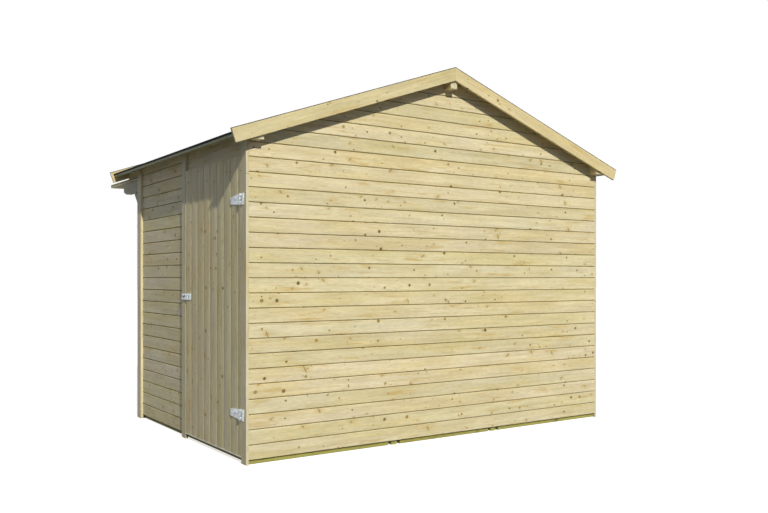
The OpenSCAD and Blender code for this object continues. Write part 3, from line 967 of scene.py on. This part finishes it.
def cad_solids(node: str) -> list[Solid]:
    """Returns each solid of a CAD node as its own merged bmesh, with flat faces whole."""
    whole = bmesh.new()
    whole.from_mesh(bpy.data.objects[node].data)
    bmesh.ops.remove_doubles(whole, verts=whole.verts, dist=MERGE)
    bmesh.ops.dissolve_limit(whole, angle_limit=FLAT_ANGLE, verts=whole.verts, edges=whole.edges)
    whole.verts.index_update()
    whole.verts.ensure_lookup_table()
    solids: list[Solid] = []
    seen: set[int] = set()
    for start in whole.verts:
        if start.index in seen:
            continue
        group, edge = {start.index}, [start]
        while edge:
            for vert in [vert for link in edge.pop().link_edges for vert in link.verts]:
                if vert.index not in group:
                    group.add(vert.index)
                    edge.append(vert)
        seen |= group
        solid = whole.copy()
        solid.verts.ensure_lookup_table()
        others = [vert for vert in solid.verts if vert.index not in group]
        bmesh.ops.delete(solid, geom=others, context="VERTS")
        solids.append(solid)
    whole.free()
    return solids


def grain_frame(solid: Solid) -> Matrix:
    """Returns a timber's frame at its middle: x along its longest edge, y along the widest way across."""

    def way(edge: bmesh.types.BMEdge) -> Vector:
        """Returns the way from one end of an edge to the other."""
        return edge.verts[1].co - edge.verts[0].co

    def sideways(edge: bmesh.types.BMEdge) -> Vector:
        """Returns what of an edge lies across the timber's length."""
        return way(edge) - along * way(edge).dot(along)

    along = way(max(solid.edges, key=lambda edge: edge.calc_length())).normalized()
    widest = max(solid.edges, key=lambda edge: sideways(edge).length)
    return Place(middle_of(solid), along, sideways(widest).normalized()).matrix()


def dressed_timbers(
    name: str, finish: Finish, slot: Slot, arris: float, nodes: Sequence[str], body: Body = Body.KIOSK
) -> None:
    """Makes a piece of the timbers of some CAD nodes, with rounded arrises and each with its own grain.

    Args:
        name: The piece's name.
        finish: The finish that it gets.
        slot: The record's material slot.
        arris: The radius of its arrises.
        nodes: The CAD nodes whose timbers it shows.
        body: The body that it rides on.
    """
    stack = Stack(name)
    for node in nodes:
        for solid in cad_solids(node):
            frame = grain_frame(solid)
            round_arrises(solid, arris)
            stack.take(solid, frame)
    stack.piece(finish, body, slot, *nodes)


# Measures


@dataclass(frozen=True)
class Measures:
    """The kiosk's main lengths, read from the CAD nodes."""

    skin_x: float
    side_x: float
    room_x: float
    frame_x: float
    back_y: float
    frame_back: float
    frame_front: float
    front_y: float
    cladding_z: float
    hatch_z: float
    hatch_top: float
    plate_z: float
    ridge_z: float
    purlin_x: float
    purlin_z: float
    slope: float
    row: float

    @classmethod
    def read(cls) -> Measures:
        """Reads them from the boxes of the nodes that hold them."""
        back, lower, upper = (
            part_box(n) for n in ("back_cladding", "front_lower_cladding", "front_upper_cladding")
        )
        purlin, plates, sill = (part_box(n) for n in ("ridge_purlin", "wall_plates", "hatch_sill"))
        return cls(
            skin_x=back[1].x,
            side_x=-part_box("door_side_trims")[0].x,
            room_x=sill[1].x,
            frame_x=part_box("floor_boards")[1].x,
            back_y=back[0].y,
            frame_back=back[1].y,
            frame_front=lower[0].y,
            front_y=lower[1].y,
            cladding_z=lower[0].z,
            hatch_z=lower[1].z,
            hatch_top=upper[0].z,
            plate_z=plates[0].z,
            ridge_z=purlin[1].z,
            purlin_x=purlin[1].x,
            purlin_z=purlin[0].z,
            slope=(purlin[1].z - plates[1].z) / sill[1].x,
            row=(lower[1].z - lower[0].z) / HATCH_ROWS,
        )

    def roof_cut(self, side: int) -> Cut:
        """Returns the cut along the deck's underside on one side of the middle."""
        return Vector((0, 0, self.ridge_z)), Vector((side * self.slope, 0, 1)).normalized()


def beyond(x: float | None = None, y: float | None = None, z: float | None = None, way: int = 1) -> Cut:
    """Returns a cut across one axis: what lies past the given value goes, on the side that way points to."""
    for value, axis in ((x, X_AXIS), (y, Y_AXIS), (z, Z_AXIS)):
        if value is not None:
            return axis * value, axis * way
    raise ValueError("one of x, y and z has to be given")


# Sub-assemblies


@dataclass
class Walls:
    """The horizontal matched boards of the four walls."""

    size: Measures
    chamfer: float = 4.2 * MM
    shoulder_gap: float = 1.9 * MM
    nail_share: float = 0.3

    def rows(self, stack: Stack, start: Vector, along: Vector, length: float, windows: Windows) -> None:
        """Lays rows of boards up to the roof.

        Args:
            stack: The piece that gets them.
            start: The lower corner of the wall's outer face.
            along: The way that the boards run.
            length: Their length.
            windows: Gives the cuts of each part of a row that stays, for the height of its lower edge.
        """
        section = MatchedSection(self.size.row, chamfer=self.chamfer, shoulder_gap=self.shoulder_gap)
        height = self.size.cladding_z
        while height < self.size.ridge_z:
            place = Place(Vector((start.x, start.y, height)), along, Z_AXIS)
            luck = stack.chance()
            for cuts in windows(height):
                lay_board(stack, section, place, length, cuts, luck)
            height += section.cover

    def gable_windows(self, low: float) -> Windows:
        """Returns the parts of a gable's rows above a height.

        They are whole below the plates and fitted round plates and purlin above.
        """
        size = self.size
        floor, ceiling = beyond(z=low, way=-1), beyond(z=size.plate_z)
        roof = [size.roof_cut(1), size.roof_cut(-1)]
        purlin = [beyond(x=size.purlin_x), beyond(x=-size.purlin_x, way=-1), beyond(z=size.purlin_z)]

        def windows(height: float) -> list[list[Cut]]:
            """Returns the cuts of each part of the row at a height."""
            top = height + size.row
            if top <= low:
                return []
            if top <= size.plate_z:
                return [[floor]]
            parts = [[floor, beyond(x=side * size.room_x, way=-side), ceiling] for side in (1, -1)]
            middle = [floor, *roof, beyond(x=size.room_x), beyond(x=-size.room_x, way=-1)]
            if top <= size.purlin_z:
                return [*parts, middle]
            halves = [[*middle, beyond(x=side * size.purlin_x, way=-side)] for side in (1, -1)]
            return [*parts, *halves, [*middle, *purlin]]

        return windows

    def build(self) -> None:
        """Builds the boards of every wall and their nails."""
        size = self.size
        top = beyond(z=size.plate_z)
        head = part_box("door_head_board")
        jamb = [beyond(z=size.hatch_z, way=-1), beyond(z=size.hatch_top)]
        posts = [[*jamb, beyond(x=side * size.room_x, way=-side)] for side in (1, -1)]
        beside_door = [[beyond(y=head[1].y, way=-1), top], [beyond(y=head[0].y), top]]
        width, depth = 2 * size.skin_x, size.frame_front - size.frame_back
        back = (Vector((-size.skin_x, size.back_y, 0)), X_AXIS, width, CLADDING)
        front = (Vector((size.skin_x, size.front_y, 0)), -X_AXIS, width, CLADDING)
        plain = (Vector((size.skin_x, size.frame_back, 0)), Y_AXIS, depth, SIDE_CLADDING)
        door = (Vector((-size.skin_x, size.frame_front, 0)), -Y_AXIS, depth, SIDE_CLADDING)
        for name, node, (corner, along, length, finish), runs in (
            ("back_wall_boards", "back_cladding", back, [self.gable_windows(size.cladding_z)]),
            ("front_lower_boards", "front_lower_cladding", front, [lambda z: [[beyond(z=size.hatch_z)]]]),
            ("front_upper_boards", "front_upper_cladding", front, [self.gable_windows(size.hatch_top)]),
            ("front_corner_rows", "front_corner_boards", front, [lambda z, cuts=c: [cuts] for c in posts]),
            ("plain_side_boards", "plain_side_cladding", plain, [lambda z: [[top]]]),
            ("door_side_boards", "door_side_cladding", door, [lambda z: beside_door]),
        ):
            boards = Stack(name)
            for windows in runs:
                self.rows(boards, corner, along, length, windows)
            boards.piece(finish, Body.KIOSK, Slot.CLADDING, node)
        self.nails()

    def nails(self) -> None:
        """Nails every row to the studs behind it."""
        size = self.size
        nails = Stack("cladding_nails")
        for node, way, face, out in (
            ("back_studs", X_AXIS, Vector((0, size.back_y, 0)), -Y_AXIS),
            ("front_studs", X_AXIS, Vector((0, size.front_y, 0)), Y_AXIS),
            ("plain_side_studs", Y_AXIS, Vector((size.skin_x, 0, 0)), X_AXIS),
            ("door_side_studs", Y_AXIS, Vector((-size.skin_x, 0, 0)), -X_AXIS),
        ):
            for stud in cad_solids(node):
                at = face + way * middle_of(stud).dot(way)
                low, high = span(vert.co for vert in stud.verts)
                stud.free()
                height = size.cladding_z + size.row * self.nail_share
                while height < high.z:
                    if height > low.z:
                        NAIL.drive(nails, Vector((at.x, at.y, height)), out)
                    height += size.row
        nails.piece(ZINC, Body.KIOSK, Slot.ZINC)


@dataclass
class Base:
    """The treated ground timbers and the floor boards."""

    size: Measures
    cover: float = 95 * MM
    arris: float = 1 * MM
    shoulder_gap: float = 0.6 * MM
    outermost: float = 100 * MM

    def build(self) -> None:
        """Builds the timbers and the floor."""
        # The outermost timbers get the darker treated pine: painted shade along the shaded sides.
        bearers, shaded_bearers = Stack("ground_timbers"), Stack("side_bearers")
        for node in ("floor_joists", "edge_beams"):
            for solid in cad_solids(node):
                frame = grain_frame(solid)
                edge = self.size.frame_x - self.outermost
                outside = all(abs(vert.co.x) > edge for vert in solid.verts)
                round_arrises(solid, self.arris)
                (shaded_bearers if outside else bearers).take(solid, frame)
        bearers.piece(TREATED, Body.KIOSK, Slot.TREATED, "floor_joists", "edge_beams")
        shaded_bearers.piece(TREATED_PAINTED_SHADE, Body.KIOSK, Slot.TREATED)
        low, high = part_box("floor_boards")
        section = MatchedSection(self.cover, high.z - low.z, self.arris, self.shoulder_gap)
        floor = Stack("floor_planks")
        y = low.y
        while y < high.y:
            place = Place(Vector((low.x, y, high.z)), X_AXIS, Y_AXIS)
            lay_board(floor, section, place, high.x - low.x, [beyond(y=high.y)])
            y += self.cover
        floor.piece(SAWN, Body.KIOSK, Slot.FRAME, "floor_boards")


@dataclass
class Joinery:
    """The wall frames behind the boards, the hatch's sill, and the door's stops and head."""

    arris: float = 1.5 * MM
    sill_arris: float = 2.5 * MM
    frame: tuple[str, ...] = (
        "gable_sole_plates",
        "side_sole_plates",
        "back_studs",
        "front_studs",
        "door_side_studs",
        "plain_side_studs",
        "gable_rails",
        "hatch_rails",
    )

    def build(self) -> None:
        """Builds the timbers."""
        dressed_timbers("frame_timbers", SAWN, Slot.FRAME, self.arris, self.frame)
        dressed_timbers("sill_board", SPRUCE, Slot.TRIM, self.sill_arris, ["hatch_sill"])
        dressed_timbers("door_stop_strips", SPRUCE, Slot.FRAME, self.arris, ["door_stops"])
        dressed_timbers("door_head", SPRUCE, Slot.CLADDING, self.arris, ["door_head_board"])


@dataclass
class Trims:
    """The upright trims at the corners and beside the door."""

    arris: float = 1.6 * MM

    def build(self) -> None:
        """Builds the trims."""
        for node in ("door_side_trims", "plain_side_trims", "front_trims"):
            dressed_timbers(f"{node}_fitted", TRIM, Slot.TRIM, self.arris, [node])


@dataclass
class Roof:
    """The plates, purlin, deck boards, felt and bargeboards."""

    size: Measures
    cover: float = 88.4 * MM
    chamfer: float = 3 * MM
    shoulder_gap: float = 1 * MM
    arris: float = 1.6 * MM
    cap_arris: float = 0.8 * MM
    sheet_arris: float = 0.5 * MM
    sheet: float = 2 * MM
    hem: float = 2.5 * MM
    drop: float = 5 * MM
    lap_at: float = 0.56
    ridge_strip: float = 160 * MM
    nail_step: float = 95 * MM
    nail_line: float = 22 * MM
    sheet_edge: float = 0.7
    cap_edge: float = 0.5

    def deck(self) -> None:
        """Lays the deck's boards along the eaves, their good face down."""
        boards = Stack("roof_deck_boards")
        for slab in cad_solids("roof_deck"):
            under = min(slab.faces, key=lambda f: f.normal.z).normal.copy()
            along = Y_AXIS if under.x > 0 else -Y_AXIS
            heights = [vert.co.dot(under) for vert in slab.verts]
            thickness = max(heights) - min(heights)
            section = MatchedSection(self.cover, thickness, self.chamfer, self.shoulder_gap)
            planked(boards, slab, along, under, section)
        # The deck boards get the darker, greener spruce: painted shade under the eaves.
        boards.piece(DECK_PAINTED_SHADE, Body.KIOSK, Slot.FRAME, "roof_deck")

    def felt(self) -> None:
        """Lays the felt in sheets that lap down the slope and a strip over the ridge, and nails the laps."""
        felt, nails = Stack("roof_felt_sheets"), Stack("felt_nails")
        for slab in cad_solids("roof_felt"):
            slab.normal_update()
            top = max(slab.faces, key=lambda f: f.normal.z)
            out, crown = top.normal.copy(), top.calc_center_median()
            up = out.cross(Y_AXIS) if out.x < 0 else Y_AXIS.cross(out)
            up = up if up.z > 0 else -up
            heights = [vert.co.dot(up) for vert in top.verts]
            low, high = min(heights), max(heights)
            ends = [vert.co.y for vert in top.verts]
            lap = crown - out * self.sheet
            lower = slab.copy()
            cut_away(lower, [(lap, out)])
            sheets = [lower]
            middle = low + (high - low) * self.lap_at
            for start, lift in ((middle, 0.0), (high - self.ridge_strip, self.sheet)):
                line = crown + up * (start - crown.dot(up))
                sheet = slab.copy()
                cut_away(sheet, [(line, -up), (lap, -out)])
                bmesh.ops.translate(sheet, verts=sheet.verts, vec=out * lift)
                sheets.append(sheet)
                point = line + up * self.nail_line + out * lift
                y = min(ends) + self.nail_step / 2
                while y < max(ends):
                    FELT_NAIL.drive(nails, Vector((point.x, y, point.z)), out)
                    y += self.nail_step
            for sheet in sheets:
                round_arrises(sheet, self.sheet_arris)
                felt.take(sheet, marked=lambda face: abs(face.normal.dot(out)) < self.sheet_edge)
            hem = slab.copy()
            cut_away(hem, [(crown + up * (low + self.hem - crown.dot(up)), up)])
            bmesh.ops.translate(hem, verts=hem.verts, vec=-up * self.hem - out * self.drop)
            felt.take(hem, marked=lambda face: True)
            slab.free()
        felt.piece(FELT, Body.KIOSK, Slot.FELT, "roof_felt")
        nails.piece(ZINC, Body.KIOSK, Slot.ZINC)

    def build(self) -> None:
        """Builds the roof."""
        plates, barges = ("wall_plates", "ridge_purlin"), ("back_bargeboards", "front_bargeboards")
        dressed_timbers("roof_timbers", SPRUCE, Slot.FRAME, self.arris, plates)
        dressed_timbers("bargeboards", BARGE, Slot.TRIM, self.arris, barges)
        caps = Stack("bargeboard_caps_sheets")
        for solid in cad_solids("bargeboard_caps"):
            round_arrises(solid, self.cap_arris)
            caps.take(solid, marked=lambda face: face.normal.z < self.cap_edge)
        caps.piece(FELT, Body.KIOSK, Slot.FELT, "bargeboard_caps")
        self.deck()
        self.felt()


@dataclass
class ServingFlap:
    """The raised flap over the hatch with its ledges and brackets."""

    size: Measures
    arris: float = 1.6 * MM
    chamfer: float = 4 * MM
    shoulder_gap: float = 2 * MM

    def build(self) -> None:
        """Builds the flap."""
        flap = Stack("flap_planks")
        low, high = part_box("flap_boards")
        section = MatchedSection(self.size.row, high.z - low.z, self.chamfer, self.shoulder_gap)
        for slab in cad_solids("flap_boards"):
            planked(flap, slab, X_AXIS, Z_AXIS, section)
        flap.piece(CLADDING, Body.KIOSK, Slot.CLADDING, "flap_boards")
        dressed_timbers("flap_ledge_strips", SPRUCE, Slot.FRAME, self.arris, ["flap_ledges"])
        timbers = ("bracket_arms", "bracket_struts")
        # The brackets get the darker spruce: painted shade under the flap.
        dressed_timbers("brackets", BRACKET_PAINTED_SHADE, Slot.TRIM, self.arris, timbers)


@dataclass
class Door:
    """The ledged and braced door of upright matched boards."""

    cover: float = 107.5 * MM
    first: float = 15 * MM
    chamfer: float = 2.2 * MM
    gap: float = 2.7 * MM
    crown: float = 2.5 * MM
    tongue_t: float = 4.4 * MM
    arris: float = 1.5 * MM
    closer: float = 3.5 * MM
    nail_shares: tuple[float, float] = (0.3, 0.7)
    nail_rise: float = 18 * MM
    clear: float = 15 * MM
    nail_inset: float = 0.4 * MM
    lath_arris: float = 0.5 * MM
    lath_short: float = 4 * MM
    lath_place: Vector = field(default_factory=lambda: Vector((0.5, 0, 0.3)) * MM)
    drip: Vector = field(default_factory=lambda: Vector((3, 0, 6.5)) * MM)

    def build(self) -> None:
        """Builds the door."""
        low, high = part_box("door_boards")
        section = MatchedSection(
            self.cover, high.x - low.x, self.chamfer, self.gap, self.crown, tongue_t=self.tongue_t
        )
        leaf = Stack("door_leaf_boards")
        edge = high.y + self.first
        count = math.ceil((edge - low.y) / self.cover)
        cuts = [beyond(y=low.y, way=-1), beyond(y=high.y + self.closer)]
        for index in range(count):
            y = edge - (index + 1) * self.cover
            place = Place(Vector((low.x, y, low.z)), Z_AXIS, Y_AXIS)
            lay_board(leaf, section, place, high.z - low.z, cuts)
        leaf.piece(DOOR_WOOD, Body.DOOR, Slot.DOOR, "door_boards")
        nails = Stack("door_nails")
        for ledge in cad_solids("door_ledges"):
            middle = middle_of(ledge)
            ledge.free()
            for index in range(count):
                for share, way in zip(self.nail_shares, (1, -1)):
                    y = edge - (index + share) * self.cover
                    point = Vector((low.x + self.nail_inset, y, middle.z + way * self.nail_rise))
                    if low.y + self.clear < y < high.y - self.clear:
                        NAIL.drive(nails, point, -X_AXIS)
        nails.piece(ZINC, Body.DOOR, Slot.ZINC)
        back = ("door_ledges", "door_braces")
        dressed_timbers("door_back", SPRUCE, Slot.DOOR, self.arris, back, Body.DOOR)
        self.drip_lath(low, high)

    def drip_lath(self, low: Vector, high: Vector) -> None:
        """Lets a thin lath into the lower edge of the leaf.

        Args:
            low: The lower corner of the leaf's box.
            high: Its upper corner.
        """
        lath = bmesh.new()
        bmesh.ops.create_cube(lath, size=1)
        size = Vector((self.drip.x, high.y - low.y - self.lath_short, self.drip.z))
        bmesh.ops.scale(lath, vec=size, verts=lath.verts)
        middle = Vector((low.x, (low.y + high.y) / 2, low.z + self.drip.z / 2)) + self.lath_place
        bmesh.ops.translate(lath, vec=middle, verts=lath.verts)
        round_arrises(lath, self.lath_arris)
        stack = Stack("door_drip_lath")
        stack.take(lath, Place(middle, Y_AXIS, Z_AXIS).matrix())
        # The lath's near-white finish is a painted highlight.
        stack.piece(LATH_PAINTED_HIGHLIGHT, Body.DOOR, Slot.DOOR)


@dataclass
class Fittings:
    """The galvanised hinges, the hasp and its staple, with their screws.

    A fixing stands at a share of its part's width from the low side and of its height from the middle.
    """

    pins: Sequence[Vector]
    arris: float = 0.4 * MM
    roll: float = 7 * MM
    # Painted shade on the knuckles rolled round the pins.
    roll_dull: float = 0.4
    parts: tuple[tuple[str, Body], ...] = (
        ("hinge_leaves", Body.KIOSK),
        ("hasp_staple", Body.KIOSK),
        ("flap_hinges", Body.KIOSK),
        ("hinge_straps", Body.DOOR),
        ("hasp_plate", Body.DOOR),
        ("hasp_strap", Body.HASP),
    )
    fixings: dict[str, Sequence[tuple[Fixing, float, float]]] = field(
        default_factory=lambda: {
            "hinge_straps": ((SCREW, 0.84, 0), (BOLT, 0.54, 0), (SCREW, 0.22, 0.3), (SCREW, 0.22, -0.3)),
            "hinge_leaves": ((SCREW, 0.4, -0.33), (SCREW, 0.4, 0.33)),
            "hasp_plate": ((SCREW, 0.35, -0.3), (SCREW, 0.35, 0.3)),
        }
    )

    def screws(self, stack: Stack, node: str) -> None:
        """Drives a part's screws.

        Args:
            stack: The piece that gets them.
            node: The CAD node of the part.
        """
        for solid in cad_solids(node) if node in self.fixings else ():
            face = self.plate_face(solid)
            low, high = span(vert.co for vert in solid.verts)
            solid.free()
            wide, tall = high.y - low.y, high.z - low.z
            for kind, share, rise in self.fixings[node]:
                point = Vector((face, low.y + wide * share, (low.z + high.z) / 2 + tall * rise))
                kind.drive(stack, point, -X_AXIS)

    @staticmethod
    def plate_face(solid: Solid) -> float:
        """Returns the x of the outer face of a part's plate."""
        solid.normal_update()
        outer = [f for f in solid.faces if f.normal.x < -SAME_WAY]
        return max(outer, key=lambda f: f.calc_area()).calc_center_median().x

    def rolled(self, face: bmesh.types.BMFace) -> float:
        """Returns how much painted shade a face gets: some if it is rolled round one of the joints' pins."""
        centre = face.calc_center_median().xy
        return self.roll_dull if any((centre - pin.xy).length < self.roll for pin in self.pins) else 0.0

    def build(self) -> None:
        """Builds the fittings."""
        for node, body in self.parts:
            stack = Stack(f"{node}_zinc")
            for solid in cad_solids(node):
                round_arrises(solid, self.arris, 1)
                # The hasp staple is painted fully dark: painted shade for the dark slot it sits in.
                marked = (lambda face: 1.0) if node == "hasp_staple" else self.rolled
                stack.take(solid, smooth=True, marked=marked)
            self.screws(stack, node)
            stack.piece(ZINC, body, Slot.ZINC, node)


# Setting


def seen_directly(graph: Graph) -> Socket:
    """Returns 1 for what the camera sees straight on, in a mirror or through glass, and otherwise 0."""
    path = graph.add("ShaderNodeLightPath")
    seen = graph.maths("MAXIMUM", path.outputs["Is Camera Ray"], path.outputs["Is Glossy Ray"])
    return graph.maths("MAXIMUM", seen, path.outputs["Is Transmission Ray"])


@dataclass(frozen=True)
class FloorPaint(Finish):
    """A paint that glows where it is seen and throws little light on the kiosk."""

    name: str = "floor_paint"
    unseen: Colour = (0.1, 0.105, 0.12)
    seen: Colour = (0.6, 0.6, 0.6)
    glow: Colour = (0.75, 0.73, 0.67)

    def dress(self, graph: Graph, surface: bpy.types.Node) -> None:
        """Feeds the surface with its paint and its glow."""
        seen = seen_directly(graph)
        paint = {"Base Color": graph.blend(seen, self.unseen, self.seen), "Roughness": 1}
        glow = {"Emission Color": self.glow, "Emission Strength": seen}
        graph.fill(surface, {**paint, **glow, "Specular IOR Level": 0})


@dataclass(frozen=True)
class Lamp:
    """A distant lamp, its source the direction towards it and its angle in degrees."""

    name: str
    source: Vector
    strength: float
    angle: float
    colour: Colour

    def hang(self) -> None:
        """Adds it to the scene."""
        data = bpy.data.lights.new(self.name, "SUN")
        data.energy = self.strength
        data.angle = math.radians(self.angle)
        data.color = self.colour
        placed(self.name, data).rotation_euler = self.source.to_track_quat("Z", "Y").to_euler()


LAMPS = (
    Lamp("key", Vector((-0.2015, -1, 0.63)), strength=2.9, angle=0.9, colour=(1.0, 0.99, 0.93)),
    Lamp("fill", Vector((0.75, 0.7, 0.6)), strength=1.3, angle=70, colour=(0.96, 0.98, 1.0)),
)


@dataclass
class Setting:
    """The pale floor, the lamps, the white surroundings and the camera."""

    size: Measures
    stand: Vector = field(default_factory=lambda: Vector((-2.001, -4.366)))
    eye_height: float = 1.091
    turn: float = math.radians(-34.2)
    sensor: float = 36
    lens: float = 38.34
    shift: float = 0.0273
    sky: Colour = (0.228, 0.276, 0.405)
    floor_reach: float = 60

    def camera(self) -> None:
        """Places the camera by the near corner of the walls."""
        data = bpy.data.cameras.new("view")
        data.sensor_width = self.sensor
        data.lens = self.lens
        data.shift_y = self.shift
        made = placed("view", data)
        corner = Vector((-self.size.side_x, self.size.back_y))
        made.location = (*(corner + self.stand), self.eye_height)
        made.rotation_euler = (math.pi / 2, 0, self.turn)
        bpy.context.scene.camera = made

    def surroundings(self) -> None:
        """Makes the world a soft sky that looks white."""
        world = bpy.data.worlds.new("studio")
        bpy.context.scene.world = world
        world.use_nodes = True
        graph = Graph(world.node_tree)
        colour = graph.blend(seen_directly(graph), self.sky, (1.0, 1.0, 1.0))
        graph.fill(world.node_tree.nodes["Background"], {"Color": colour, "Strength": 1})

    def floor(self) -> None:
        """Lays a pale floor that shows as white but keeps the kiosk's shadow."""
        mesh = bmesh.new()
        bmesh.ops.create_grid(mesh, x_segments=1, y_segments=1, size=self.floor_reach)
        data = bpy.data.meshes.new("studio_floor")
        mesh.to_mesh(data)
        mesh.free()
        data.materials.append(FloorPaint().material())
        made = placed("studio_floor", data)

    def build(self) -> None:
        """Builds the setting."""
        self.camera()
        for lamp in LAMPS:
            lamp.hang()
        self.surroundings()
        self.floor()
        bpy.context.scene.view_settings.view_transform = "Standard"


def main() -> None:
    """Builds the kiosk's looks piece by piece."""
    logging.basicConfig(level=logging.INFO, format="%(message)s")
    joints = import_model()["joints"]
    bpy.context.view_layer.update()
    size = Measures.read()
    for part in (
        Setting(size),
        Base(size),
        Joinery(),
        Walls(size),
        Trims(),
        Roof(size),
        ServingFlap(size),
        Door(),
        Fittings([Vector(joint["pos_m"]) for joint in joints]),
    ):
        part.build()


if __name__ == "__main__":
    main()
